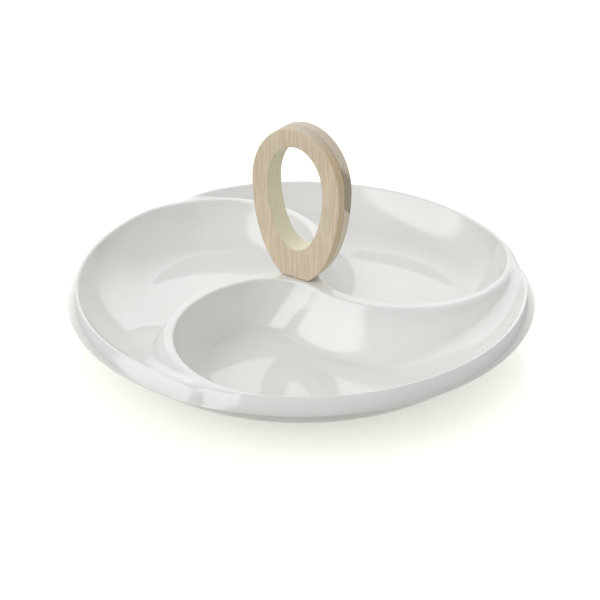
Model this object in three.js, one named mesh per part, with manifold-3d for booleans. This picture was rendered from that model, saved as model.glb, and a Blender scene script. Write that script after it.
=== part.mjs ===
// Divided porcelain serving dish with a bamboo ring handle.
// Three round bowls overlap like a pinwheel inside one round rim, and a ring handle stands on the middle,
// held by one screw from below.
// Millimetres, +Z up. The origin is the middle of the foot ring's resting plane.

import * as THREE from 'three';
import { mergeVertices } from 'three/addons/utils/BufferGeometryUtils.js';
import Module from 'manifold-3d';

const wasm = await Module();
wasm.setup();

// Dish, in plan
const BOWL_COUNT = 3;
const LIP_INNER_RADIUS = 133;
const LIP_WIDTH = 2;
const RIM_WIDTH = 7;
// How far the outside of each bowl's divider reaches over the next bowl's own circle
const BOWL_OVERLAP = 16;
const BOWL_CORNER_RADIUS = 35;
const DIVIDER_TOP_WIDTH = 7.5;
const FIRST_BOWL_AZIMUTH = THREE.MathUtils.degToRad(297);

// Dish, on the bowls' floors
const BOWL_WALL_SPREAD = 17;
const FLOOR_SHIFT = 12.5;
const FLOOR_CORNER_RADIUS = 15;
const DIVIDER_FOOT_SPREAD = 20;
const TAIL_TIP_WIDTH = 4;
const TAIL_FLOOR_WIDTH = 64;

// Dish, in height
const DISH_HEIGHT = 37;
const BOWL_DEPTH = 28;
const WALL = 5;
const BAND_DROP = 8;
const BAND_TUCK_DROP = 3;
const BAND_TUCK_IN = 1.4;
const FOOT_RING_INSET = 1.5;
const FOOT_RING_WIDTH = 6;
const FOOT_RING_DRAFT = 1.2;

// Dents in the rim band, one where each bowl overlaps the next
const DENT_DEPTH = 3.5;
const DENT_HALF_WIDTH = THREE.MathUtils.degToRad(3);
const DENT_LAG = THREE.MathUtils.degToRad(15);

// Hollow under each divider, and the hub in the middle
const HOLLOW_START = THREE.MathUtils.degToRad(206);
const HOLLOW_END = THREE.MathUtils.degToRad(240);
const HOLLOW_TOP_WIDTH = 4;
const HUB_WEB = 12;
const HUB_RECESS_RADIUS = 14;
const HUB_BORE_DIAMETER = 10;

// Ring handle
const HANDLE_WIDTH = 60;
const HANDLE_HEIGHT = 94.5;
const HANDLE_WIDEST_HEIGHT = 58;
const HANDLE_FOOT_WIDTH = 18;
const HANDLE_THICKNESS = 14.5;
const HANDLE_EDGE_ROUND = 0.8;
const GRIP_WIDTH = 37;
const GRIP_WOOD_ABOVE = 11;
const GRIP_WOOD_BELOW = 18.5;

// Fastening
const SCREW_DIAMETER = 5;
const SCREW_HEAD_DIAMETER = 9.5;
const SCREW_HEAD_HEIGHT = 3.2;
const SCREW_SOCKET_ACROSS = 3;
const SCREW_SOCKET_DEPTH = 2;
const SCREW_SOCKET_SIDES = 6;
const SCREW_CHAMFER = 0.5;
const INSERT_DIAMETER = 8;
const INSERT_LENGTH = 11;
const INSERT_RIBS = 4;
const INSERT_RIB_HEIGHT = 0.35;
// Shares of a rib's pitch: where its level crest ends, and where its slope reaches the root
const INSERT_RIB_CREST_END = 0.6;
const INSERT_RIB_SLOPE_END = 0.75;
const INSERT_BORE_EXTRA_DEPTH = 2;
const GASKET_DIAMETER = 13;
const GASKET_THICKNESS = 0.4;
const GROMMET_FLANGE_DIAMETER = 14;
const GROMMET_FLANGE_THICKNESS = 1.5;
const FLAT_WASHER_DIAMETER = 13;
const FLAT_WASHER_THICKNESS = 1.2;
const SPRING_WASHER_DIAMETER = 9.2;
const SPRING_WASHER_THICKNESS = 1.3;
const SPRING_WASHER_GAP = THREE.MathUtils.degToRad(10);
const WASHER_CLEARANCE = 0.3;
const FIT_CLEARANCE = 0.15;

// Fineness of the facets
const LATHE_SEGMENTS = 96;
const SMALL_SEGMENTS = 28;
const ARC_STEPS = { own: 26, rim: 16, tail: 6, next: 14, corner: 8 };
const WALL_STEPS = 7;
const BAND_STEPS = 3;
const HOLLOW_STEPS = 5;
const HOLLOW_ARC_STEPS = 8;
const HANDLE_CURVE_STEPS = 22;
const HANDLE_EDGE_STEPS = 2;
const CUT_MARGIN = 2;

const TURN = 2 * Math.PI;
const BOWL_STEP = TURN / BOWL_COUNT;
const DISH_RADIUS = LIP_INNER_RADIUS + RIM_WIDTH;
// Two neighbouring bowls' centres lie this many times their distance from the middle apart
const CENTRE_SPAN = 2 * Math.sin(BOWL_STEP / 2);
// Each bowl touches the lip from inside and overlaps its neighbour
const BOWL_RADIUS = (CENTRE_SPAN * LIP_INNER_RADIUS + BOWL_OVERLAP - DIVIDER_TOP_WIDTH) / (CENTRE_SPAN + 2);
const BOWL_CENTRE_DISTANCE = LIP_INNER_RADIUS - BOWL_RADIUS;
const FLOOR_RADIUS = BOWL_RADIUS - BOWL_WALL_SPREAD;
const FLOOR_CENTRE_DISTANCE = BOWL_CENTRE_DISTANCE - FLOOR_SHIFT;
const FOOT_RING_OUTER_RADIUS = FLOOR_CENTRE_DISTANCE + FLOOR_RADIUS - FOOT_RING_INSET;
const UNDERSIDE_Z = DISH_HEIGHT - BOWL_DEPTH - WALL;
const SEAT_Z = DISH_HEIGHT - HUB_WEB;
const HANDLE_FOOT_Z = DISH_HEIGHT + GASKET_THICKNESS;
const SCREW_HOLE_DIAMETER = SCREW_DIAMETER + 2 * WASHER_CLEARANCE;

const mix = THREE.MathUtils.lerp;
const polar = (radius, angle) => new THREE.Vector2(radius * Math.cos(angle), radius * Math.sin(angle));
const angleFrom = (from, to) => Math.atan2(to.y - from.y, to.x - from.x);

// Where two circles cross: the crossing on the left of the way from the first centre to the second,
// or on the right of it.
function crossing(centreA, radiusA, centreB, radiusB, side) {
  const span = centreA.distanceTo(centreB);
  const along = (span ** 2 + radiusA ** 2 - radiusB ** 2) / (2 * span);
  const aside = Math.sqrt(radiusA ** 2 - along ** 2);
  const way = centreB.clone().sub(centreA).divideScalar(span);
  const left = new THREE.Vector2(-way.y, way.x);
  return centreA.clone().addScaledVector(way, along).addScaledVector(left, side * aside);
}

// A bowl's wall is a quarter ellipse in section. At a wall angle of 0 it is upright at the rim, and at
// 90 degrees it lies level on the floor. An offset follows the wall on its outer side.
function wallLevel(angle, offset = 0) {
  const inward = 1 - Math.cos(angle);
  const aside = offset * Math.cos(angle);
  const centre = mix(BOWL_CENTRE_DISTANCE, FLOOR_CENTRE_DISTANCE, inward);
  const own = mix(BOWL_RADIUS, FLOOR_RADIUS, inward) + aside;
  const next = BOWL_RADIUS + DIVIDER_TOP_WIDTH + DIVIDER_FOOT_SPREAD * inward - aside;
  return { inward, centre, own, next, z: DISH_HEIGHT - (BOWL_DEPTH + offset) * Math.sin(angle) };
}

// Contour of a bowl at one wall angle, counter-clockwise, with the point where its own round edge
// touches the rim on +X: its own edge, the rim, the tail's round tip, the outside of the next bowl's
// edge, and the rounded corner beside the middle.
function bowlContour(angle) {
  const level = wallLevel(angle);
  const rim = level.centre + level.own;
  const tipWidth = mix(TAIL_TIP_WIDTH, TAIL_FLOOR_WIDTH, Math.sin(angle));
  const wallsAtTip = LIP_INNER_RADIUS - rim + DIVIDER_FOOT_SPREAD * level.inward;
  const tail = (tipWidth - wallsAtTip) / 2;
  const corner = mix(BOWL_CORNER_RADIUS, FLOOR_CORNER_RADIUS, level.inward);
  const middle = new THREE.Vector2(0, 0);
  const ownCentre = new THREE.Vector2(level.centre, 0);
  const nextCentre = polar(BOWL_CENTRE_DISTANCE, BOWL_STEP);
  const tailCentre = crossing(middle, rim - tail, nextCentre, level.next + tail, -1);
  const cornerCentre = crossing(ownCentre, level.own - corner, nextCentre, level.next + corner, 1);
  const arc = (centre, radius, from, to, clockwise, steps) => {
    const curve = new THREE.ArcCurve(centre.x, centre.y, radius, from, to, clockwise);
    return curve.getPoints(steps).slice(0, steps);
  };
  const tailWay = angleFrom(middle, tailCentre);
  const cornerWay = angleFrom(ownCentre, cornerCentre);
  return [
    ...arc(ownCentre, level.own, cornerWay, 0, false, ARC_STEPS.own),
    ...arc(middle, rim, 0, tailWay, false, ARC_STEPS.rim),
    ...arc(tailCentre, tail, tailWay, angleFrom(tailCentre, nextCentre), false, ARC_STEPS.tail),
    ...arc(nextCentre, level.next, angleFrom(nextCentre, tailCentre), angleFrom(nextCentre, cornerCentre),
      true, ARC_STEPS.next),
    ...arc(cornerCentre, corner, angleFrom(cornerCentre, nextCentre), cornerWay, false, ARC_STEPS.corner),
  ];
}

// Contour of the hollow under a divider: a crescent between the bowl on its inside and the one outside,
// both a wall's thickness away.
function hollowContour(angle) {
  const level = wallLevel(angle, WALL);
  const shift = BOWL_CENTRE_DISTANCE - level.centre;
  const outer = [];
  const inner = [];
  for (let step = 0; step <= HOLLOW_ARC_STEPS; step += 1) {
    const way = mix(HOLLOW_START, HOLLOW_END, step / HOLLOW_ARC_STEPS);
    const reach = -shift * Math.cos(way) + Math.sqrt(level.own ** 2 - (shift * Math.sin(way)) ** 2);
    const onDivider = (radius) => polar(radius, way).add(new THREE.Vector2(BOWL_CENTRE_DISTANCE, 0));
    outer.push(onDivider(level.next));
    inner.unshift(onDivider(reach));
  }
  return [...outer, ...inner];
}

// A closed solid through level contours with equal counts of points, from the lowest to the highest.
function loft(contours) {
  const count = contours[0].points.length;
  const vertices = contours.flatMap(({ points, z }) => points.flatMap((point) => [point.x, point.y, z]));
  const faces = [];
  for (let level = 0; level < contours.length - 1; level += 1) {
    for (let i = 0; i < count; i += 1) {
      const a = level * count + i;
      const b = level * count + ((i + 1) % count);
      faces.push(a, b, b + count, a, b + count, a + count);
    }
  }
  const last = (contours.length - 1) * count;
  for (const [a, b, c] of THREE.ShapeUtils.triangulateShape(contours[0].points, [])) faces.push(c, b, a);
  for (const [a, b, c] of THREE.ShapeUtils.triangulateShape(contours.at(-1).points, [])) {
    faces.push(a + last, b + last, c + last);
  }
  const geometry = new THREE.BufferGeometry();
  geometry.setAttribute('position', new THREE.Float32BufferAttribute(vertices, 3));
  geometry.setIndex(faces);
  return geometry;
}

// A turned solid about Z from [radius, height] points.
function turned(profile, segments) {
  const points = profile.map(([radius, z]) => new THREE.Vector2(radius, z));
  return new THREE.LatheGeometry(points, segments).rotateX(Math.PI / 2);
}

// A turned ring with a rectangular section.
function turnedRing(innerDiameter, outerDiameter, low, high) {
  const inner = innerDiameter / 2;
  const outer = outerDiameter / 2;
  return turned([[inner, low], [outer, low], [outer, high], [inner, high], [inner, low]], SMALL_SEGMENTS);
}

function uprightCylinder(diameter, low, high, segments) {
  const geometry = new THREE.CylinderGeometry(diameter / 2, diameter / 2, high - low, segments);
  return geometry.rotateX(Math.PI / 2).translate(0, 0, (low + high) / 2);
}

// A closed mesh as a solid that can be cut.
function solidOf(geometry) {
  const bare = new THREE.BufferGeometry();
  bare.setAttribute('position', geometry.getAttribute('position'));
  bare.setIndex(geometry.getIndex());
  const merged = mergeVertices(bare);
  const index = merged.getIndex().array;
  const triangles = [];
  for (let i = 0; i < index.length; i += 3) {
    const [a, b, c] = index.slice(i, i + 3);
    if (a !== b && b !== c && c !== a) triangles.push(a, b, c);
  }
  return new wasm.Manifold(new wasm.Mesh({
    numProp: 3,
    vertProperties: merged.getAttribute('position').array,
    triVerts: new Uint32Array(triangles),
  }));
}

function geometryOf(solid) {
  const { vertProperties, triVerts } = solid.getMesh();
  const geometry = new THREE.BufferGeometry();
  geometry.setAttribute('position', new THREE.BufferAttribute(vertProperties, 3));
  geometry.setIndex(new THREE.BufferAttribute(triVerts, 1));
  return geometry;
}

// The dish before its bowls are cut: a turned blank with a foot ring, a rounded underside that keeps a
// wall's thickness from the bowls, and a rim band that curves in from its widest line up to the lip.
function dishBlank() {
  const profile = [[0, UNDERSIDE_Z]];
  const footInner = FOOT_RING_OUTER_RADIUS - FOOT_RING_WIDTH;
  profile.push([footInner - FOOT_RING_DRAFT, UNDERSIDE_Z], [footInner, 0]);
  profile.push([FOOT_RING_OUTER_RADIUS - FOOT_RING_DRAFT, 0], [FOOT_RING_OUTER_RADIUS, UNDERSIDE_Z]);
  const tuckZ = DISH_HEIGHT - BAND_DROP - BAND_TUCK_DROP;
  for (let step = WALL_STEPS; step > 0; step -= 1) {
    const level = wallLevel((step / WALL_STEPS) * (Math.PI / 2), WALL);
    if (level.z < tuckZ) profile.push([level.centre + level.own, level.z]);
  }
  const lipOuter = LIP_INNER_RADIUS + LIP_WIDTH;
  const bandOut = DISH_RADIUS - lipOuter;
  profile.push([DISH_RADIUS - BAND_TUCK_IN, tuckZ]);
  for (let step = 0; step <= BAND_STEPS; step += 1) {
    const up = step / BAND_STEPS;
    profile.push([DISH_RADIUS - bandOut * up ** 2, DISH_HEIGHT - BAND_DROP * (1 - up)]);
  }
  profile.push([0, DISH_HEIGHT]);
  const geometry = turned(profile, LATHE_SEGMENTS);
  dentBand(geometry.getAttribute('position'), lipOuter);
  return geometry;
}

// Presses a shallow dent into the rim band just before each bowl touches the lip. It is deepest at the
// band's widest line and fades out at the lip.
function dentBand(position, lipOuter) {
  for (let i = 0; i < position.count; i += 1) {
    const point = new THREE.Vector2(position.getX(i), position.getY(i));
    const down = (DISH_HEIGHT - position.getZ(i)) / BAND_DROP;
    if (point.length() < lipOuter || down > (BAND_DROP + BAND_TUCK_DROP) / BAND_DROP) continue;
    const depth = DENT_DEPTH * Math.sin((Math.PI / 2) * Math.min(down, 1));
    const around = point.angle() - FIRST_BOWL_AZIMUTH + DENT_LAG;
    const off = around - BOWL_STEP * Math.round(around / BOWL_STEP);
    const pressed = depth / (1 + (off / DENT_HALF_WIDTH) ** 2);
    point.setLength(point.length() - pressed);
    position.setXY(i, point.x, point.y);
  }
}

// The cutter for one bowl, reaching above the rim.
function bowlCutter() {
  const contours = [];
  for (let step = WALL_STEPS; step >= 0; step -= 1) {
    const angle = (step / WALL_STEPS) * (Math.PI / 2);
    contours.push({ points: bowlContour(angle), z: wallLevel(angle).z });
  }
  contours.push({ points: contours.at(-1).points, z: DISH_HEIGHT + CUT_MARGIN });
  return loft(contours);
}

// The cutter for the hollow under one divider, reaching below the underside.
function hollowCutter() {
  const spread = DIVIDER_FOOT_SPREAD + BOWL_RADIUS - FLOOR_RADIUS;
  const narrowest = Math.acos((DIVIDER_TOP_WIDTH + spread - HOLLOW_TOP_WIDTH) / (spread + 2 * WALL));
  const contours = [{ points: hollowContour(Math.PI / 2), z: UNDERSIDE_Z - CUT_MARGIN }];
  for (let step = 0; step <= HOLLOW_STEPS; step += 1) {
    const angle = mix(Math.PI / 2, narrowest, step / HOLLOW_STEPS);
    contours.push({ points: hollowContour(angle), z: wallLevel(angle, WALL).z });
  }
  return loft(contours);
}

// The cone under the middle that gives room for the screw and its washers, with a flat seat on top.
function hubRecessCutter() {
  const seatRadius = GROMMET_FLANGE_DIAMETER / 2 + WASHER_CLEARANCE;
  const low = UNDERSIDE_Z - CUT_MARGIN;
  return turned([[0, low], [HUB_RECESS_RADIUS, low], [HUB_RECESS_RADIUS, UNDERSIDE_Z],
    [seatRadius, SEAT_Z], [0, SEAT_Z]], SMALL_SEGMENTS);
}

function dishGeometry() {
  let body = solidOf(dishBlank());
  for (let bowl = 0; bowl < BOWL_COUNT; bowl += 1) {
    const azimuth = FIRST_BOWL_AZIMUTH + bowl * BOWL_STEP;
    body = body.subtract(solidOf(bowlCutter().rotateZ(azimuth)));
    body = body.subtract(solidOf(hollowCutter().rotateZ(azimuth)));
  }
  body = body.subtract(solidOf(hubRecessCutter()));
  const boreTop = DISH_HEIGHT + CUT_MARGIN;
  const bore = uprightCylinder(HUB_BORE_DIAMETER, SEAT_Z - CUT_MARGIN, boreTop, SMALL_SEGMENTS);
  return geometryOf(body.subtract(solidOf(bore)));
}

// Outline of the ring handle, standing on its foot at height 0: an egg of two half ellipses that meet at
// the widest height, the lower one cut off level by the foot, with an oval grip hole.
function handleShape() {
  const half = HANDLE_WIDTH / 2;
  const foot = HANDLE_FOOT_WIDTH / 2;
  const widest = HANDLE_WIDEST_HEIGHT;
  const sweep = Math.acos(foot / half);
  const lower = widest / Math.sin(sweep);
  const shape = new THREE.Shape();
  shape.moveTo(-foot, 0);
  shape.lineTo(foot, 0);
  shape.absellipse(0, widest, half, lower, -sweep, 0, false);
  shape.absellipse(0, widest, half, HANDLE_HEIGHT - widest, 0, Math.PI, false);
  shape.absellipse(0, widest, half, lower, Math.PI, Math.PI + sweep, false);
  const hole = new THREE.Path();
  hole.moveTo(GRIP_WIDTH / 2, widest);
  hole.absellipse(0, widest, GRIP_WIDTH / 2, HANDLE_HEIGHT - GRIP_WOOD_ABOVE - widest, 0, Math.PI, false);
  hole.absellipse(0, widest, GRIP_WIDTH / 2, widest - GRIP_WOOD_BELOW, Math.PI, TURN, false);
  shape.holes.push(hole);
  return shape;
}

function handleGeometry() {
  const ring = new THREE.ExtrudeGeometry(handleShape(), {
    depth: HANDLE_THICKNESS - 2 * HANDLE_EDGE_ROUND,
    curveSegments: HANDLE_CURVE_STEPS,
    bevelThickness: HANDLE_EDGE_ROUND,
    bevelSize: HANDLE_EDGE_ROUND,
    bevelOffset: -HANDLE_EDGE_ROUND,
    bevelSegments: HANDLE_EDGE_STEPS,
  });
  ring.translate(0, 0, HANDLE_EDGE_ROUND - HANDLE_THICKNESS / 2);
  ring.rotateX(Math.PI / 2).translate(0, 0, HANDLE_FOOT_Z);
  const boreTop = HANDLE_FOOT_Z + INSERT_LENGTH + INSERT_BORE_EXTRA_DEPTH;
  const boreDiameter = INSERT_DIAMETER + 2 * FIT_CLEARANCE;
  const bore = uprightCylinder(boreDiameter, HANDLE_FOOT_Z - CUT_MARGIN, boreTop, SMALL_SEGMENTS);
  return geometryOf(solidOf(ring).subtract(solidOf(bore)));
}

// A ribbed sleeve, with the screw's thread as a plain bore.
function insertGeometry() {
  const inner = SCREW_DIAMETER / 2 + FIT_CLEARANCE;
  const outer = INSERT_DIAMETER / 2;
  const root = outer - INSERT_RIB_HEIGHT;
  const pitch = INSERT_LENGTH / INSERT_RIBS;
  const profile = [[inner, HANDLE_FOOT_Z]];
  for (let rib = 0; rib < INSERT_RIBS; rib += 1) {
    const low = HANDLE_FOOT_Z + rib * pitch;
    const crestEnd = low + pitch * INSERT_RIB_CREST_END;
    const slopeEnd = low + pitch * INSERT_RIB_SLOPE_END;
    profile.push([outer, low], [outer, crestEnd], [root, slopeEnd], [root, low + pitch]);
  }
  profile.push([inner, HANDLE_FOOT_Z + INSERT_LENGTH], [inner, HANDLE_FOOT_Z]);
  return turned(profile, SMALL_SEGMENTS);
}

function gasketGeometry() {
  return turnedRing(SCREW_HOLE_DIAMETER, GASKET_DIAMETER, DISH_HEIGHT, HANDLE_FOOT_Z);
}

// A rubber washer whose collar centres the screw in the hub's bore.
const GROMMET_LOW = SEAT_Z - GROMMET_FLANGE_THICKNESS;
function grommetGeometry() {
  const inner = SCREW_HOLE_DIAMETER / 2;
  const flange = GROMMET_FLANGE_DIAMETER / 2;
  const collar = HUB_BORE_DIAMETER / 2 - FIT_CLEARANCE;
  const top = DISH_HEIGHT - WASHER_CLEARANCE;
  return turned([[inner, GROMMET_LOW], [flange, GROMMET_LOW], [flange, SEAT_Z], [collar, SEAT_Z],
    [collar, top], [inner, top], [inner, GROMMET_LOW]], SMALL_SEGMENTS);
}

const FLAT_WASHER_LOW = GROMMET_LOW - FLAT_WASHER_THICKNESS;
function flatWasherGeometry() {
  return turnedRing(SCREW_HOLE_DIAMETER, FLAT_WASHER_DIAMETER, FLAT_WASHER_LOW, GROMMET_LOW);
}

// A split ring, drawn flat as it lies when the screw is tight.
const SPRING_WASHER_LOW = FLAT_WASHER_LOW - SPRING_WASHER_THICKNESS;
function springWasherGeometry() {
  const shape = new THREE.Shape();
  shape.absarc(0, 0, SPRING_WASHER_DIAMETER / 2, SPRING_WASHER_GAP, TURN, false);
  shape.absarc(0, 0, SCREW_HOLE_DIAMETER / 2, TURN, SPRING_WASHER_GAP, true);
  const options = { depth: SPRING_WASHER_THICKNESS, bevelEnabled: false, curveSegments: SMALL_SEGMENTS };
  return new THREE.ExtrudeGeometry(shape, options).translate(0, 0, SPRING_WASHER_LOW);
}

// A cylinder-head screw with a hexagon socket, its thread drawn as a plain shank.
function screwGeometry() {
  const headLow = SPRING_WASHER_LOW - SCREW_HEAD_HEIGHT;
  const head = SCREW_HEAD_DIAMETER / 2;
  const shank = SCREW_DIAMETER / 2;
  const tip = HANDLE_FOOT_Z + INSERT_LENGTH;
  const body = turned([[0, headLow], [head - SCREW_CHAMFER, headLow], [head, headLow + SCREW_CHAMFER],
    [head, SPRING_WASHER_LOW], [shank, SPRING_WASHER_LOW], [shank, tip - SCREW_CHAMFER],
    [shank - SCREW_CHAMFER, tip], [0, tip]], SMALL_SEGMENTS);
  const socketDiameter = SCREW_SOCKET_ACROSS / Math.cos(Math.PI / SCREW_SOCKET_SIDES);
  const socketTop = headLow + SCREW_SOCKET_DEPTH;
  const socket = uprightCylinder(socketDiameter, headLow - CUT_MARGIN, socketTop, SCREW_SOCKET_SIDES);
  return geometryOf(solidOf(body).subtract(solidOf(socket)));
}

const porcelain = new THREE.MeshStandardMaterial({ color: 0xf1f1ee, roughness: 0.12, metalness: 0 });
const bamboo = new THREE.MeshStandardMaterial({ color: 0xc3a57c, roughness: 0.55, metalness: 0 });
const brass = new THREE.MeshStandardMaterial({ color: 0xc9a24d, roughness: 0.35, metalness: 1 });
const silicone = new THREE.MeshStandardMaterial({ color: 0xd9d8d2, roughness: 0.7, metalness: 0 });
const rubber = new THREE.MeshStandardMaterial({ color: 0x2b2b2b, roughness: 0.85, metalness: 0 });
const washerSteel = new THREE.MeshStandardMaterial({ color: 0xbfc1c3, roughness: 0.35, metalness: 1 });
const springSteel = new THREE.MeshStandardMaterial({ color: 0x8d8f91, roughness: 0.4, metalness: 1 });
const screwSteel = new THREE.MeshStandardMaterial({ color: 0xb4b6b8, roughness: 0.3, metalness: 1 });

function piece(name, geometry, material) {
  const mesh = new THREE.Mesh(geometry, material);
  mesh.name = name;
  return mesh;
}

const dish = new THREE.Group();
dish.add(piece('dish', dishGeometry(), porcelain));
dish.add(piece('seat_gasket', gasketGeometry(), silicone));
dish.add(piece('flanged_grommet', grommetGeometry(), rubber));

const handle = new THREE.Group();
handle.add(piece('ring_handle', handleGeometry(), bamboo));
handle.add(piece('threaded_insert', insertGeometry(), brass));
handle.add(piece('handle_screw', screwGeometry(), screwSteel));
handle.add(piece('spring_washer', springWasherGeometry(), springSteel));
handle.add(piece('flat_washer', flatWasherGeometry(), washerSteel));

const servingDish = new THREE.Group();
servingDish.add(dish, handle);

export default servingDish;
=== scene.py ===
# %% [markdown]
# # A divided serving dish with a ring handle
# The dish is one piece of white porcelain. Three round bowls overlap inside one rim, each curling over the
# next like the blades of a pinwheel. A bamboo ring stands on the middle, and one screw from below holds it.
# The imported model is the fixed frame: it has every piece at its real size. This lesson models the pieces
# that show with smooth surfaces, gives all of them a finish, and then lights and frames the dish.

# %% Load the frame
import functools
import math

import bmesh
import bpy
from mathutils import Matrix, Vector, kdtree


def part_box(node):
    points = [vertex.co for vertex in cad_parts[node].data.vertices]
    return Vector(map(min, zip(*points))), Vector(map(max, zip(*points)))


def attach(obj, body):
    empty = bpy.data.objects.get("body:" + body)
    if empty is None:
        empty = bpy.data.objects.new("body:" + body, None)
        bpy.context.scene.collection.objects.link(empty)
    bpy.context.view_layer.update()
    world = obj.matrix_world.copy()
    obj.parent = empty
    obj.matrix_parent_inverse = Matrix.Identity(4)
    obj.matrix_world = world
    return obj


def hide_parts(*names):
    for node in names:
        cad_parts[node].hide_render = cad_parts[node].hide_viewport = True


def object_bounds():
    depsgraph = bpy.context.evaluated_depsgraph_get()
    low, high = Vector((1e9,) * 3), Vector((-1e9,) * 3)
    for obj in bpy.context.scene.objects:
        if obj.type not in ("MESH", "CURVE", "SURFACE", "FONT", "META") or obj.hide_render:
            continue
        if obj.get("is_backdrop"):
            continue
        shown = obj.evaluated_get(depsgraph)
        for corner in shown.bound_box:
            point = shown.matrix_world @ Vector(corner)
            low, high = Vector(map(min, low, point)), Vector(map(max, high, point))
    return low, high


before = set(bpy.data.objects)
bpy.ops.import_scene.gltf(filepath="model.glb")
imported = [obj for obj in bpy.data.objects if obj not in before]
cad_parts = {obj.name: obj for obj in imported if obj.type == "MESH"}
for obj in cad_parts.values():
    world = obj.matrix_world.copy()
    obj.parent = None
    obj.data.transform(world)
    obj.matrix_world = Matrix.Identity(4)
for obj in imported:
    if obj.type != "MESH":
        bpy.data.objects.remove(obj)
cad_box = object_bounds()
MM = 0.001
TURN = 2 * math.pi
dish_low, dish_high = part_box("dish")
ring_low, ring_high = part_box("ring_handle")
print("dish", [round(x / MM, 1) for x in dish_high - dish_low], "mm")
print("ring handle", [round(x / MM, 1) for x in ring_high - ring_low], "mm")

# %% [markdown]
# ## The camera
# The view comes first. The dish is seen from a little over the table with a long lens, and the ring is
# turned 33 degrees away from the camera. The camera could be aimed with a Track To constraint, but a
# fixed place and tilt are easier to compare with measurements.

# %% Camera
CAMERA_PLACE = (0.3915, -0.6043, 0.4234)
CAMERA_AZIMUTH = math.radians(33)
CAMERA_PITCH = math.radians(29.33)
CAMERA_LENS = 81.6
CAMERA_SENSOR = 36

bpy.ops.object.camera_add(location=CAMERA_PLACE)
camera = bpy.context.object
camera.rotation_euler = (math.pi / 2 - CAMERA_PITCH, 0, CAMERA_AZIMUTH)
camera.data.lens = CAMERA_LENS
camera.data.sensor_width = CAMERA_SENSOR
bpy.context.scene.camera = camera
print("camera", round(Vector(CAMERA_PLACE).length, 3), "m from the middle of the foot")

# %% [markdown]
# ## Modelling from loops
# Porcelain has no flat panels: nearly every surface here is a row of closed curves joined to each other.
# By hand, such a surface is pulled out of its first curve: extrude the loop of edges, put the new loop in
# place, and go on. These helpers do that, so that each piece below is only a list of its curves.

# %% Helpers for modelling from loops
TOUCH = 0.001 * MM


def start_loop(name, points):
    """A new piece that is one closed loop of edges: a circle whose vertices are put on the points."""
    bpy.ops.object.select_all(action="DESELECT")
    bpy.ops.mesh.primitive_circle_add(vertices=len(points))
    piece = bpy.context.object
    piece.name = piece.data.name = name
    for vertex, point in zip(piece.data.vertices, points):
        vertex.co = point
    bpy.ops.object.mode_set(mode="EDIT")
    bpy.ops.mesh.select_mode(type="EDGE")
    bpy.ops.mesh.select_all(action="SELECT")
    return piece


def pull_loop(piece, old, new):
    """Extrudes the selected loop from the old points, and puts the new loop on the new ones."""
    nearest = kdtree.KDTree(len(old))
    for index, point in enumerate(old):
        nearest.insert(point, index)
    nearest.balance()
    bpy.ops.mesh.extrude_edges_indiv()
    mesh = bmesh.from_edit_mesh(piece.data)
    for vertex in mesh.verts:
        if vertex.select:
            vertex.co = new[nearest.find(vertex.co)[1]]
    bmesh.update_edit_mesh(piece.data)


def pull_through(name, loops):
    """A new piece in edit mode, pulled through all the loops. The last of them stays selected."""
    piece = start_loop(name, loops[0])
    for old, new in zip(loops, loops[1:]):
        pull_loop(piece, old, new)
    return piece


def circle_points(radius, z, count):
    """Points of a level circle about the upright axis."""
    angles = [TURN * i / count for i in range(count)]
    return [Vector((radius * math.cos(a), radius * math.sin(a), z)) for a in angles]


def select_open_edges(piece, height):
    """Selects the edges at one height that have a face on one side only."""
    bpy.ops.mesh.select_all(action="DESELECT")
    mesh = bmesh.from_edit_mesh(piece.data)
    for edge in mesh.edges:
        level = all(abs(vertex.co.z - height) < TOUCH for vertex in edge.verts)
        edge.select_set(edge.is_boundary and level)
    bmesh.update_edit_mesh(piece.data)


def leave_edit():
    bpy.ops.object.mode_set(mode="OBJECT")


print("helpers ready")

# %% [markdown]
# ## The sizes of the bowls
# The bowls are alike, so one set of sizes does for all three. Each circle touches the lip from inside and
# overlaps the next by a given width, and from that its radius follows. The walls spread inwards to the
# floors. A bowl's tail, between the lip and the next bowl, is narrow at the rim and widens downwards, with
# a gentle shelf along the lip.

# %% Sizes of the bowls
BOWL_COUNT = 3
BOWL_STEP = TURN / BOWL_COUNT
FIRST_BOWL_AZIMUTH = math.radians(297)
DISH_RADIUS = min(dish_high.x, dish_high.y, -dish_low.x, -dish_low.y)
DISH_HEIGHT = dish_high.z
LIP_INNER_RADIUS = 133 * MM
BOWL_OVERLAP = 16 * MM
BOWL_CORNER_RADIUS = 35 * MM
DIVIDER_TOP_WIDTH = 7.5 * MM
BOWL_WALL_SPREAD = 17 * MM
FLOOR_SHIFT = 12.5 * MM
FLOOR_CORNER_RADIUS = 15 * MM
DIVIDER_FOOT_SPREAD = 20 * MM
DIVIDER_STRAIGHT = 0.6
WALL_STRAIGHT = 0.4
TAIL_TIP_WIDTH = 2 * MM
TAIL_FLOOR_WIDTH = 78 * MM
TAIL_RISE = 1.15
TAIL_SHELF = 11 * MM
TAIL_TRIM = 3.2 * MM
BOWL_DEPTH = 28 * MM
WALL = 5 * MM
CENTRE_SPAN = 2 * math.sin(BOWL_STEP / 2)
BOWL_RADIUS = (CENTRE_SPAN * LIP_INNER_RADIUS + BOWL_OVERLAP - DIVIDER_TOP_WIDTH) / (CENTRE_SPAN + 2)
BOWL_CENTRE_DISTANCE = LIP_INNER_RADIUS - BOWL_RADIUS
FLOOR_RADIUS = BOWL_RADIUS - BOWL_WALL_SPREAD
FLOOR_CENTRE_DISTANCE = BOWL_CENTRE_DISTANCE - FLOOR_SHIFT
UNDERSIDE_Z = DISH_HEIGHT - BOWL_DEPTH - WALL
print("bowl radius", round(BOWL_RADIUS / MM, 1), "mm, floor radius", round(FLOOR_RADIUS / MM, 1), "mm")

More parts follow.
